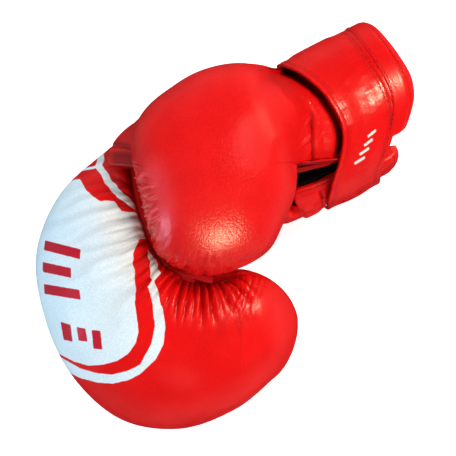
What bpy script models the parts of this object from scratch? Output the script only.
"""Right-hand boxing glove, 10 oz size, lying on its little-finger side with the thumb up.

Frame: metres, +Z up.  +X runs from the fist towards the cuff mouth, +Y towards the
back of the hand, -Y towards the palm.  Z = 0 is the surface the glove lies on.
The glove is built as it is sewn: leather covers over moulded foam over a cloth lining,
with a split cuff closed by a wrap-over hook-and-loop strap.
"""
import math

import bmesh
import bpy
from mathutils import Matrix, Vector

MM = 0.001

# ---------------------------------------------------------------- driving sizes (mm)
LEATHER = 1.6            # thickness of the outer hide
CLOTH = 0.9              # thickness of the lining
GAP = 0.35               # running gap between touching layers
ROUND = 2.3              # squareness of the mitt's cross-sections
CUFF_ROUND = 2.1

CUFF_CY, CUFF_CZ = 31.0, 46.0      # centre of the cuff tube
CUFF_B, CUFF_A = 44.0, 46.0        # its half sizes along Y and Z
CUFF_START = 65.0                  # where cuff layers meet mitt layers
CUFF_PAD = 5.0                     # wrist padding
SLIT_AT = 44.0                     # slit's direction, degrees from +Z towards the palm
SLIT_WIDTH = 20.0
SLIT_START = 40.0
EDGE_BEAD = 4.2

STRAP_IN, STRAP_OUT = 3.1, 6.2     # strap's stand-off from the cuff cover
STRAP_HINGE = 98.0                 # degrees from +Z towards the palm: sewn line of the strap
STRAP_FOLD = -38.0                 # where the peeled end folds back
STRAP_END = -122.0

THUMB_CX, THUMB_CY = 8.0, 33.0     # middle of the thumb pad, seen from above
THUMB_RIM_Z, THUMB_TOP_Z = 114.0, 149.0
THUMB_LOW_Z = 68.0

ORIGIN = (6.6, -7.25, 0.0)         # this point of the drawing becomes the origin: under the middle of the glove
THUMB_HINGE = (60.0, 75.0, 80.0)   # the thumb's root, where its foam bends

# Mitt stations, wrist to fingertips: outer point, inner point (X, Y), bottom and top (Z)
STATIONS = [
    (64, 75, 64, -13, -1, 90),
    (40, 81, 38, -11, -1, 88),
    (10, 86.5, 12, -8, -1.5, 87),
    (-18, 86, -8, -6.5, -2, 90),
    (-50, 82, -21, -6, -2.5, 99),
    (-91, 68, -28, -8, -3, 110),
    (-120, 38.5, -30.5, -10.5, -3, 117),
    (-133, -5, -31.5, -13, -3, 120),
    (-132, -45, -31, -15.5, -3, 120),
    (-116.5, -80.5, -29, -18, -2.5, 118),
    (-86, -102.5, -25, -20.5, -1, 114),
    (-49, -106.6, -18, -22.5, 2, 108),
    (-18, -101, -7, -26, 7, 101),
]
TIP_LENGTH = 28.0
TIP_NARROW = 0.2         # the finger end already closes in where its rounding starts
# Hand space at each station: foam on the outer side, on the inner side, below and above
HAND = [
    (12, 8, 9, 8),
    (20, 8, 11, 10),
    (27, 8, 13, 10),
    (31, 9, 16, 11),
    (34, 14, 18, 14),
    (38, 25, 20, 20),
    (39, 36, 22, 22),
    (39, 40, 22, 22),
    (40, 40, 22, 22),
    (40, 36, 22, 22),
    (38, 30, 24, 24),
    (37, 37, 49, 49),
    (32, 32, 44, 44),
]
# Outline of the thumb pad seen from above (X, Y), anticlockwise
THUMB_OUTLINE = [
    (64, 40), (67, 58), (64, 75), (50, 87), (28, 92.5), (10, 92), (-9, 88), (-23, 79), (-32, 64),
    (-39, 37), (-43, 22), (-44, 4), (-36, -10), (-23, -20), (-8, -24.5), (6, -25), (18, -22),
    (30, -13), (42, -3), (51, 9), (58, 24),
]


# ---------------------------------------------------------------- helpers
def clear_scene():
    for obj in list(bpy.data.objects):
        bpy.data.objects.remove(obj)


def collection(name, parent=None):
    made = bpy.data.collections.new(name)
    (parent or bpy.context.scene.collection).children.link(made)
    return made


def material(name, colour, rough=0.5, metal=0.0):
    mat = bpy.data.materials.new(name)
    mat.use_nodes = True
    node = mat.node_tree.nodes["Principled BSDF"]
    node.inputs["Base Color"].default_value = (*colour, 1.0)
    node.inputs["Roughness"].default_value = rough
    node.inputs["Metallic"].default_value = metal
    mat.diffuse_color = (*colour, 1.0)
    return mat


def smooth_rows(rows, steps):
    """Catmull-Rom rows between the given ones, `steps` to each span."""
    made = []
    last = len(rows) - 1
    for i in range(last):
        a, b, c, d = (rows[max(i - 1, 0)], rows[i], rows[i + 1], rows[min(i + 2, last)])
        for k in range(steps):
            t = k / steps
            made.append(tuple(
                0.5 * (2 * q + (r - p) * t + (2 * p - 5 * q + 4 * r - s) * t * t + (3 * q - p - 3 * r + s) * t ** 3)
                for p, q, r, s in zip(a, b, c, d)))
    made.append(tuple(float(x) for x in rows[last]))
    return made


def power(value, exponent):
    return math.copysign(abs(value) ** exponent, value)


def oval(half_n, half_z, angle, squareness):
    return (half_n * power(math.cos(angle), 2 / squareness), half_z * power(math.sin(angle), 2 / squareness))


def new_object(name, bm, mat, home):
    mesh = bpy.data.meshes.new(name)
    bm.normal_update()
    bm.to_mesh(mesh)
    bm.free()
    obj = bpy.data.objects.new(name, mesh)
    home.objects.link(obj)
    obj.data.materials.append(mat)
    mesh.shade_smooth()
    return obj


def grid_faces(bm, rows, wrap=False):
    for low, high in zip(rows, rows[1:]):
        n = len(low)
        for k in range(n if wrap else n - 1):
            j = (k + 1) % n
            bm.faces.new((low[k], low[j], high[j], high[k]))


def sheet(name, rows, mat, home, wrap=False, close_end=False, pole=None):
    """An open surface through rows of points in mm, drawn in to one point if there is a pole."""
    bm = bmesh.new()
    made = [[bm.verts.new([c * MM for c in p]) for p in row] for row in rows]
    grid_faces(bm, made, wrap)
    if pole:
        point = bm.verts.new([c * MM for c in pole])
        for a, b in zip(made[-1], made[-1][1:]):
            bm.faces.new((a, b, point))
    if close_end:
        bm.faces.new(made[-1])
    bmesh.ops.recalc_face_normals(bm, faces=bm.faces)
    return new_object(name, bm, mat, home)


def thick(name, outer, inner, mat, home, wrap=False):
    """A closed solid between two sheets of points on the same grid: a pad or a moulded foam."""
    bm = bmesh.new()
    out = [[bm.verts.new([c * MM for c in p]) for p in row] for row in outer]
    inn = [[bm.verts.new([c * MM for c in p]) for p in row] for row in inner]
    grid_faces(bm, out, wrap)
    grid_faces(bm, [list(reversed(r)) for r in inn], wrap)
    n = len(out[0])
    for a, b in ((out[0], inn[0]), (inn[-1], out[-1])):
        for k in range(n if wrap else n - 1):
            j = (k + 1) % n
            bm.faces.new((a[k], b[k], b[j], a[j]))
    if not wrap:
        for i in range(len(out) - 1):
            bm.faces.new((out[i][0], out[i + 1][0], inn[i + 1][0], inn[i][0]))
            bm.faces.new((out[i + 1][-1], out[i][-1], inn[i][-1], inn[i + 1][-1]))
    bmesh.ops.recalc_face_normals(bm, faces=bm.faces)
    return new_object(name, bm, mat, home)


def solidify(obj, amount, inward=True):
    mod = obj.modifiers.new("wall", "SOLIDIFY")
    mod.thickness = amount * MM
    mod.offset = -1.0 if inward else 1.0
    mod.use_even_offset = True
    mod.use_quality_normals = True
    return mod


def cut(obj, cutter, operation="DIFFERENCE"):
    mod = obj.modifiers.new("cut_" + cutter.name, "BOOLEAN")
    mod.operation = operation
    mod.solver = "EXACT"
    mod.object = cutter
    return mod


def helper(obj):
    obj.hide_render = True
    obj.display_type = "WIRE"
    return obj


def tube(name, points, radius, mat, home, closed=False, sides=2):
    curve = bpy.data.curves.new(name, "CURVE")
    curve.dimensions = "3D"
    curve.bevel_depth = radius * MM
    curve.bevel_resolution = sides
    curve.use_fill_caps = True
    spline = curve.splines.new("POLY")
    spline.points.add(len(points) - 1)
    for point, place in zip(spline.points, points):
        point.co = (*[c * MM for c in place], 1.0)
    spline.use_cyclic_u = closed
    obj = bpy.data.objects.new(name, curve)
    home.objects.link(obj)
    curve.materials.append(mat)
    return obj


def mesh_of(obj, home):
    """The curve object made a mesh with its caps welded."""
    bpy.context.view_layer.update()
    graph = bpy.context.evaluated_depsgraph_get()
    mesh = bpy.data.meshes.new_from_object(obj.evaluated_get(graph))
    bm = bmesh.new()
    bm.from_mesh(mesh)
    bmesh.ops.remove_doubles(bm, verts=bm.verts, dist=1e-6)
    bmesh.ops.recalc_face_normals(bm, faces=bm.faces)
    bm.to_mesh(mesh)
    bm.free()
    made = bpy.data.objects.new(obj.name + "_mesh", mesh)
    made.matrix_world = obj.matrix_world
    home.objects.link(made)
    name = obj.name
    bpy.data.objects.remove(obj)
    made.name = name
    return made


def cylinder(name, centre, radius, length, axis, mat, home, segments=20, hole=0.0):
    """A round bar, or a sleeve with a hole, along axis."""
    bm = bmesh.new()
    bmesh.ops.create_cone(bm, cap_ends=hole == 0.0, segments=segments, radius1=radius * MM, radius2=radius * MM, depth=length * MM)
    obj = new_object(name, bm, mat, home)
    obj.location = [c * MM for c in centre]
    obj.rotation_mode = "QUATERNION"
    obj.rotation_quaternion = Vector(axis).to_track_quat("Z", "Y")
    if hole:
        solidify(obj, radius - hole)
    return obj


def block(name, centre, size, mat, home, turn=0.0, bevel=0.0, axis="X"):
    bm = bmesh.new()
    bmesh.ops.create_cube(bm, size=1.0)
    bmesh.ops.scale(bm, vec=[s * MM for s in size], verts=bm.verts)
    obj = new_object(name, bm, mat, home)
    obj.location = [c * MM for c in centre]
    obj.rotation_euler = (math.radians(turn), 0, 0) if axis == "X" else (0, 0, math.radians(turn))
    if bevel:
        mod = obj.modifiers.new("round", "BEVEL")
        mod.width = bevel * MM
        mod.segments = 2
    return obj


# ---------------------------------------------------------------- the mitt's form
STEPS = 2
BODY = smooth_rows(STATIONS, STEPS)
SPACE = smooth_rows(HAND, STEPS)
TIP_T = (0.3, 0.55, 0.75, 0.89, 0.97, 0.995)


def frame_of(row):
    ox, oy, ix, iy, low, high = row
    mx, my = (ox + ix) / 2, (oy + iy) / 2
    half = math.hypot(ox - ix, oy - iy) / 2
    nx, ny = (ox - ix) / (2 * half), (oy - iy) / (2 * half)
    return mx, my, nx, ny, half, low, high


def skin_point(row, angle, inset, shrink=1.0):
    """A point of the mitt's outside, `inset` mm under it. Angle 0 is the back/knuckle side, 90 the thumb side, 180 the palm."""
    mx, my, nx, ny, half, low, high = frame_of(row)
    n, z = oval((half - inset) * shrink, ((high - low) / 2 - inset) * shrink, math.radians(angle), ROUND)
    return (mx + nx * n, my + ny * n, max((low + high) / 2 + z, inset))


def tip_rows(inset):
    """Rows that round off the finger end, as (row moved on, shrink)."""
    mx, my, nx, ny, half, low, high = frame_of(BODY[-1])
    ax, ay = -ny, nx                      # along the finger end, away from the wrist
    if ax * (BODY[-1][0] - BODY[-3][0]) + ay * (BODY[-1][1] - BODY[-3][1]) < 0:
        ax, ay = ny, -nx
    made = []
    for t in TIP_T:
        step = (TIP_LENGTH - inset) * t
        row = list(BODY[-1])
        for k in (0, 2):
            row[k] += ax * step
            row[k + 1] += ay * step
        made.append((tuple(row), math.sqrt(1 - t * t) * (1 - TIP_NARROW * t)))
    return made


def between(rows, i):
    """Row i, which may lie part of the way to the next."""
    low = min(int(i), len(rows) - 1)
    high = min(low + 1, len(rows) - 1)
    return tuple(p + (q - p) * (i - low if i < len(rows) - 1 else 0) for p, q in zip(rows[low], rows[high]))


def skin_row(i, angles, inset):
    if i <= len(BODY) - 1:
        return [skin_point(between(BODY, i), a, inset) for a in angles]
    row, shrink = tip_rows(inset)[i - len(BODY)]
    return [skin_point(row, a, inset, shrink) for a in angles]


def hand_point(i, angle, grow, tip=None):
    """A point of the hand space's wall, `grow` mm outside it."""
    row = between(BODY, i)
    mx, my, nx, ny, half, low, high = frame_of(row)
    outer, inner, below, above = between(SPACE, i)
    low = max(low, 0.0)
    centre = (inner - outer) / 2
    half_n = half - (outer + inner) / 2 + grow
    half_z = (high - low - below - above) / 2 + grow
    n, z = oval(half_n, half_z, math.radians(angle), ROUND)
    x, y = mx + nx * (centre + n), my + ny * (centre + n)
    if i > len(BODY) - 1:
        moved, _ = tip_rows(5.0)[i - len(BODY)]
        x += moved[0] - row[0]
        y += moved[1] - row[1]
        x = moved[0] + (moved[2] - moved[0]) / 2 + (x - (moved[0] + moved[2]) / 2) * 0.35
        y = moved[1] + (moved[3] - moved[1]) / 2 + (y - (moved[1] + moved[3]) / 2) * 0.35
        z *= 0.35
    return (x, y, (low + below + high - above) / 2 + z)


def spread(a, b, n):
    return [a + (b - a) * k / (n - 1) for k in range(n)]


ROWS = len(BODY) + len(TIP_T)


def tip_share(i):
    return max(0.0, (i - len(BODY) + 1) / len(TIP_T))


def seam_angle(i):
    """Where the big back panel stops on the thumb side: high on the back by the wrist, round to the palm from the knuckles on."""
    if tip_share(i):
        return 142 + 35 * tip_share(i)
    t = min(max((i / STEPS - 1.0) / 5.0, 0.0), 1.0)
    t = t * t * (3 - 2 * t)
    return 58 + (142 - 58) * t


def little_seam(i):
    return -140.0 - 37 * tip_share(i)


# ---------------------------------------------------------------- the cuff's form
def cuff_point(x, phi, out, taper=0.0):
    """phi in degrees from +Z towards the palm; `out` mm outside the cuff cover's outer face."""
    a = math.radians(phi)
    y, z = oval(CUFF_B + out, CUFF_A + out, math.pi / 2 - a, CUFF_ROUND)
    return (x, CUFF_CY - y, CUFF_CZ + z)


MOUTH = [(-180, 124), (-135, 133), (-90, 138), (-45, 138), (0, 136), (22, 131), (46, 121), (66, 112), (90, 108), (135, 112), (180, 124)]


def mouth_x(phi):
    phi = (phi + 180) % 360 - 180
    for (a, xa), (b, xb) in zip(MOUTH, MOUTH[1:]):
        if a <= phi <= b:
            t = (phi - a) / (b - a)
            t = t * t * (3 - 2 * t)
            return xa + (xb - xa) * t
    return MOUTH[-1][1]


# The strap's two long edges: angle from +Z towards the palm, X of the hand-side edge, X of the mouth-side edge
STRAP_PLAN = [(-125, 79, 124), (-90, 77, 126), (-60, 79, 128), (-38, 85, 128), (-18, 90, 128), (2, 91.5, 128), (14, 89, 125.5),
              (28, 81, 119.5), (42, 71.5, 112), (60, 65, 107.5), (98, 64, 106.5), (130, 65, 106.5)]


def strap_edges(phi):
    """The strap's two long edges (X) at an angle round the cuff: it wraps a little askew."""
    for (a, la, ra), (b, lb, rb) in zip(STRAP_PLAN, STRAP_PLAN[1:]):
        if phi <= b:
            break
    t = min(max((phi - a) / (b - a), 0.0), 1.0)
    return la + (lb - la) * t, ra + (rb - ra) * t


def band(name, phi_a, phi_b, low, high, mat, home, inset=0.0, n=12, across=3):
    """A curved strap layer round the cuff, from `low` to `high` mm outside it."""
    outer, inner = [], []
    for phi in spread(phi_a, phi_b, n):
        left, right = strap_edges(phi)
        xs = spread(left + inset, right - inset, across)
        outer.append([cuff_point(x, phi, high) for x in xs])
        inner.append([cuff_point(x, phi, low) for x in xs])
    return thick(name, outer, inner, mat, home)


# ---------------------------------------------------------------- build
def main():
    clear_scene()
    glove = collection("boxing_glove")
    tools = collection("cutters")
    tools.hide_render = True

    red = material("red_leather", (0.72, 0.02, 0.02), 0.38)
    white = material("white_leather", (0.82, 0.83, 0.82), 0.36)
    trim = material("red_trim", (0.62, 0.015, 0.015), 0.5)
    foam = material("moulded_foam", (0.78, 0.74, 0.62), 0.9)
    cloth = material("black_lining", (0.015, 0.014, 0.015), 0.8)
    loop = material("loop_fabric", (0.05, 0.01, 0.01), 0.95)
    hook = material("hook_tape", (0.03, 0.03, 0.03), 0.6)
    rubber = material("bar_core", (0.1, 0.1, 0.1), 0.8)

    # --- leather covers of the mitt
    finger_end, _ = tip_rows(0.0)[-1]
    mx, my, _, _, _, low, high = frame_of(finger_end)
    cover = sheet("back_cover", [skin_row(i, spread(little_seam(i), seam_angle(i), 19), 0.0) for i in range(ROWS)], red, glove, pole=(mx, my, (low + high) / 2))
    solidify(cover, LEATHER)
    palm = sheet("palm_cover", [skin_row(i, spread(seam_angle(i) + 2.2, 360 + little_seam(i) - 2.2, 11), 0.0) for i in range(ROWS - 2)], red, glove)
    solidify(palm, LEATHER)

    # --- moulded foam: thick over back, knuckles and fingers, thin over the palm
    side = 116.0
    under = LEATHER + 1.7
    lining_out = CLOTH + 1.1
    def foam_block(name, rows, low, high, n):
        angles = spread(low, high, n)
        return thick(name, [skin_row(i, angles, under) for i in rows], [[hand_point(i, a, lining_out) for a in angles] for i in rows], foam, glove)

    split_a, split_b = 4 * STEPS, 8 * STEPS
    back = foam_block("back_foam", [*range(split_a), split_a - 0.03], -side, side, 19)
    knuckle = foam_block("knuckle_foam", [split_a + 0.03, *range(split_a + 1, split_b), split_b - 0.03], -side, side, 19)
    fingers = foam_block("finger_foam", [split_b + 0.03, *range(split_b + 1, ROWS - 1)], -side, side, 19)
    palm_split = 6 * STEPS
    palm_pad = foam_block("palm_foam", [*range(palm_split), palm_split - 0.04], side + 5, 360 - side - 5, 11)
    curl_pad = foam_block("finger_pad_foam", [palm_split + 0.04, *range(palm_split + 1, ROWS - 1)], side + 5, 360 - side - 5, 11)

    # --- lining of the hand space, closed at the fingers
    last = 10 * STEPS + 1
    lining = sheet("hand_lining", [[hand_point(i, a, 0.0) for a in spread(0, 345, 24)] for i in range(last)], cloth, glove, wrap=True, close_end=True)
    solidify(lining, CLOTH, inward=False)

    # --- grip bar across the palm fold: a rubber core in a leather sleeve, in a channel of the palm foam
    bar_at = (-60.0, -13.0, 58.0)
    channel = helper(cylinder("bar_channel", (bar_at[0], bar_at[1], 60), 7.1, 180, (0, 0, 1), trim, tools, segments=16))
    cut(palm_pad, channel)
    cut(curl_pad, channel)
    cylinder("grip_bar_core", bar_at, 4.7, 76, (0, 0, 1), rubber, glove, segments=16)
    cylinder("grip_bar_sleeve", bar_at, 6.5, 80, (0, 0, 1), trim, glove, segments=16, hole=5.2)

    # --- cuff: cover, wrist padding and lining, all split on the palm side
    def cuff_rows(out, clear=0.0, n=28):
        rows = []
        for t in (0.0, 0.35, 0.7, 1.0):
            rows.append([cuff_point(CUFF_START + (mouth_x(phi) - clear - CUFF_START) * t, phi, out) for phi in spread(-180, 180 - 360 / n, n)])
        return rows

    cuff_cover = sheet("cuff_cover", cuff_rows(0.0), red, glove, wrap=True)
    solidify(cuff_cover, LEATHER)
    cuff_pad = thick("cuff_foam", cuff_rows(-(LEATHER + 0.5)), cuff_rows(-(LEATHER + 0.5 + CUFF_PAD)), foam, glove, wrap=True)
    cuff_lining = sheet("cuff_lining", cuff_rows(-(LEATHER + CUFF_PAD + 0.5 + 0.5)), cloth, glove, wrap=True)
    solidify(cuff_lining, CLOTH)

    slit_dir = math.radians(SLIT_AT)
    mid = (CUFF_CY - 30 * math.sin(slit_dir), CUFF_CZ + 30 * math.cos(slit_dir))
    slit = helper(block("slit", ((SLIT_START + 170) / 2, mid[0], mid[1]), (170 - SLIT_START, SLIT_WIDTH, 56), trim, tools, turn=SLIT_AT))
    for obj in (cuff_cover, cuff_pad, cuff_lining, palm, back, palm_pad, lining):
        cut(obj, slit)

    # --- rolled edge round the mouth, and bound edges down both sides of the slit
    wall_mid = -(LEATHER + CUFF_PAD + CLOTH + 1.0) / 2
    edge_a, edge_b = SLIT_AT + 21, SLIT_AT - 20 + 360
    path = []
    for phi in spread(edge_a, edge_b, 40):
        here = Vector(cuff_point(mouth_x(phi), phi, wall_mid))
        ahead = Vector(cuff_point(mouth_x(phi + 1), phi + 1, wall_mid))
        level = Vector(cuff_point(mouth_x(phi), phi + 1, wall_mid)) - Vector(cuff_point(mouth_x(phi), phi, wall_mid))
        along = (ahead - here).normalized()
        normal = level.cross(Vector((1, 0, 0))).normalized()
        out = along.cross(normal).normalized()
        if out.x < 0:
            out = -out
        path.append(here + out * (EDGE_BEAD + 1.1))
    tube("mouth_binding", path, EDGE_BEAD, trim, glove)
    for name, sign, x_end in (("slit_binding_thumb_side", -1, 119.0), ("slit_binding_little_side", 1, 107.0)):
        across = sign * (SLIT_WIDTH / 2 - 2.6)
        depth = CUFF_A + wall_mid - (1.2 if sign > 0 else 0.4)
        centre = (
            (CUFF_START + 2 + x_end) / 2,
            CUFF_CY - depth * math.sin(slit_dir) - across * math.cos(slit_dir),
            CUFF_CZ + depth * math.cos(slit_dir) - across * math.sin(slit_dir),
        )
        block(name, centre, (x_end - CUFF_START - 2, 4.2, 8.6), trim, glove, turn=SLIT_AT, bevel=1.6)

    # --- hook-and-loop closure
    band("loop_patch", -56, -128, GAP, 1.35, loop, glove, inset=4.0, n=9)
    band("strap_anchor", STRAP_HINGE + 3, STRAP_HINGE + 27, GAP, 3.4, red, glove, n=5)
    band("strap_main_face", STRAP_HINGE - 3, STRAP_FOLD + 2.2, 4.6, STRAP_OUT, red, glove, n=16)
    band("strap_main_backing", STRAP_HINGE - 3, STRAP_FOLD + 2.2, STRAP_IN, 4.25, cloth, glove, inset=1.0, n=16)
    band("strap_end_face", STRAP_FOLD - 2.2, STRAP_END, 4.6, STRAP_OUT, red, glove, n=11)
    band("strap_end_backing", STRAP_FOLD - 2.2, STRAP_END + 1, STRAP_IN, 4.25, cloth, glove, inset=1.0, n=11)
    band("hook_patch", -60, STRAP_END + 3, 1.7, 2.75, hook, glove, inset=6.0, n=9)
    left, right = strap_edges(STRAP_END - 4)
    band("strap_pull_tab", STRAP_END - 0.6, STRAP_END - 7, 4.0, 6.0, trim, glove, inset=9.0, n=3)

    # --- thumb: a crowned pad that lies over the thumb side of the hand space
    def outline_radius(angle):
        best = None
        n = len(THUMB_OUTLINE)
        for k in range(n):
            ax, ay = THUMB_OUTLINE[k][0] - THUMB_CX, THUMB_OUTLINE[k][1] - THUMB_CY
            bx, by = THUMB_OUTLINE[(k + 1) % n][0] - THUMB_CX, THUMB_OUTLINE[(k + 1) % n][1] - THUMB_CY
            dx, dy = math.cos(angle), math.sin(angle)
            det = dx * (ay - by) - dy * (ax - bx)
            if abs(det) < 1e-9:
                continue
            r = (ax * (ay - by) - ay * (ax - bx)) / det
            t = (dx * ay - dy * ax) / det
            if r > 0 and -1e-6 <= t <= 1 + 1e-6:
                best = r if best is None else max(best, r)
        return best

    def pad_rows(inset, levels, n=24):
        rows = []
        for level in levels:
            a = math.radians(level)
            spreadout, rise = power(math.cos(a), 2 / 2.5), power(math.sin(a), 2 / 2.2)
            height = (THUMB_TOP_Z - THUMB_RIM_Z if rise > 0 else THUMB_RIM_Z - THUMB_LOW_Z) - inset
            rows.append([
                (THUMB_CX + (outline_radius(w) - inset) * spreadout * math.cos(w),
                 THUMB_CY + (outline_radius(w) - inset) * spreadout * math.sin(w),
                 THUMB_RIM_Z + height * rise)
                for w in (2 * math.pi * k / n for k in range(n))])
        return rows

    def closed_pad(name, inset, mat, home, levels):
        bm = bmesh.new()
        rows = [[bm.verts.new([c * MM for c in p]) for p in row] for row in pad_rows(inset, levels)]
        grid_faces(bm, rows, wrap=True)
        bm.faces.new(rows[-1])
        bm.faces.new(list(reversed(rows[0])))
        bmesh.ops.recalc_face_normals(bm, faces=bm.faces)
        return new_object(name, bm, mat, home)

    def mitt_envelope(name, grow):
        bm = bmesh.new()
        angles = spread(0, 340, 18)
        rows = []
        for i in range(0, ROWS - 1):
            row = skin_row(i, angles, -grow)
            rows.append([bm.verts.new([p[0] * MM, p[1] * MM, p[2] * MM]) for p in row])
        grid_faces(bm, rows, wrap=True)
        bm.faces.new(rows[-1])
        bm.faces.new(list(reversed(rows[0])))
        bmesh.ops.recalc_face_normals(bm, faces=bm.faces)
        return helper(new_object(name, bm, trim, tools))

    envelope = mitt_envelope("mitt_envelope", 3.4)
    inner_envelope = mitt_envelope("mitt_envelope_inner", 5.2)

    rim = 6.0
    thumb_cover = sheet("thumb_cover", pad_rows(0.0, (-rim, 12, 28, 45, 62, 78)), red, glove, wrap=True, close_end=True)
    solidify(thumb_cover, LEATHER)
    thumb_panel = sheet("thumb_underside", pad_rows(0.4, (-rim - 3, -20, -32, -44, -56, -68)), red, glove, wrap=True)
    solidify(thumb_panel, 1.2)
    cut(thumb_panel, envelope)
    cut(thumb_cover, envelope)
    thumb_foam = closed_pad("thumb_foam", LEATHER + 1.1, foam, glove, (-70, -56, -42, -28, -14, 0, 14, 30, 46, 62, 76))
    cut(thumb_foam, inner_envelope)

    # the thumb's own space: down into the hand space at its root, then slanting to its tip
    throat = helper(cylinder("thumb_throat", (38, 42, 88), 15.5, 44, (0, 0, 1), trim, tools, segments=16))
    for obj in (lining, back, palm, cover):
        cut(obj, throat)
    pocket = [(38, 42, 70), (38, 42, 104), (33, 36, 112), (24, 25, 114.5), (14, 13, 115), (5, 3, 115)]
    bore = helper(mesh_of(tube("thumb_bore", pocket, 14.3, trim, tools, sides=2), tools))
    cut(thumb_foam, bore)
    sleeve_out = mesh_of(tube("thumb_lining", pocket[1:-1] + [(7, 5, 115)], 12.9, cloth, glove, sides=2), glove)
    sleeve_in = helper(mesh_of(tube("thumb_sleeve_in", [(38, 42, 80)] + pocket[1:-1] + [(9, 7.4, 115)], 11.9, trim, tools, sides=2), tools))
    cut(sleeve_out, sleeve_in)

    # --- thumb lock: the strip sewn over the seam at the fold, to which the thumb is tied
    low_end, high_end = 5 * STEPS, 10 * STEPS
    thick(
        "thumb_lock_strip",
        [[skin_point(BODY[i], a, -2.6) for a in spread(seam_angle(i) - 9, seam_angle(i) + 9, 5)] for i in range(low_end, high_end)],
        [[skin_point(BODY[i], a, -0.5) for a in spread(seam_angle(i) - 9, seam_angle(i) + 9, 5)] for i in range(low_end, high_end)],
        trim, glove)

    place(glove, tools)


def place(home, helpers):
    """Put the origin under the middle of the glove, and each moving piece's own origin on its joint."""
    bpy.context.view_layer.update()
    pivots = {}
    for obj in home.objects:
        if obj.name.startswith("thumb_") and obj.name != "thumb_lock_strip":
            pivots[obj.name] = Vector(THUMB_HINGE) * MM
        elif obj.name.startswith("strap_main"):
            pivots[obj.name] = Vector(strap_pivot(STRAP_HINGE)) * MM
        elif obj.name.startswith(("strap_end", "strap_pull", "hook_patch")):
            pivots[obj.name] = Vector(strap_pivot(STRAP_FOLD)) * MM
    for obj in list(home.objects) + list(helpers.objects):
        pivot = pivots.get(obj.name)
        if pivot:
            obj.data.transform(Matrix.Translation(-pivot))
            obj.location = obj.location + pivot
        obj.location = obj.location - Vector(ORIGIN) * MM


def strap_pivot(phi):
    a = math.radians(phi)
    return (100.0, CUFF_CY - (CUFF_B + 5.0) * math.sin(a), CUFF_CZ + (CUFF_A + 4.6) * math.cos(a))


main()
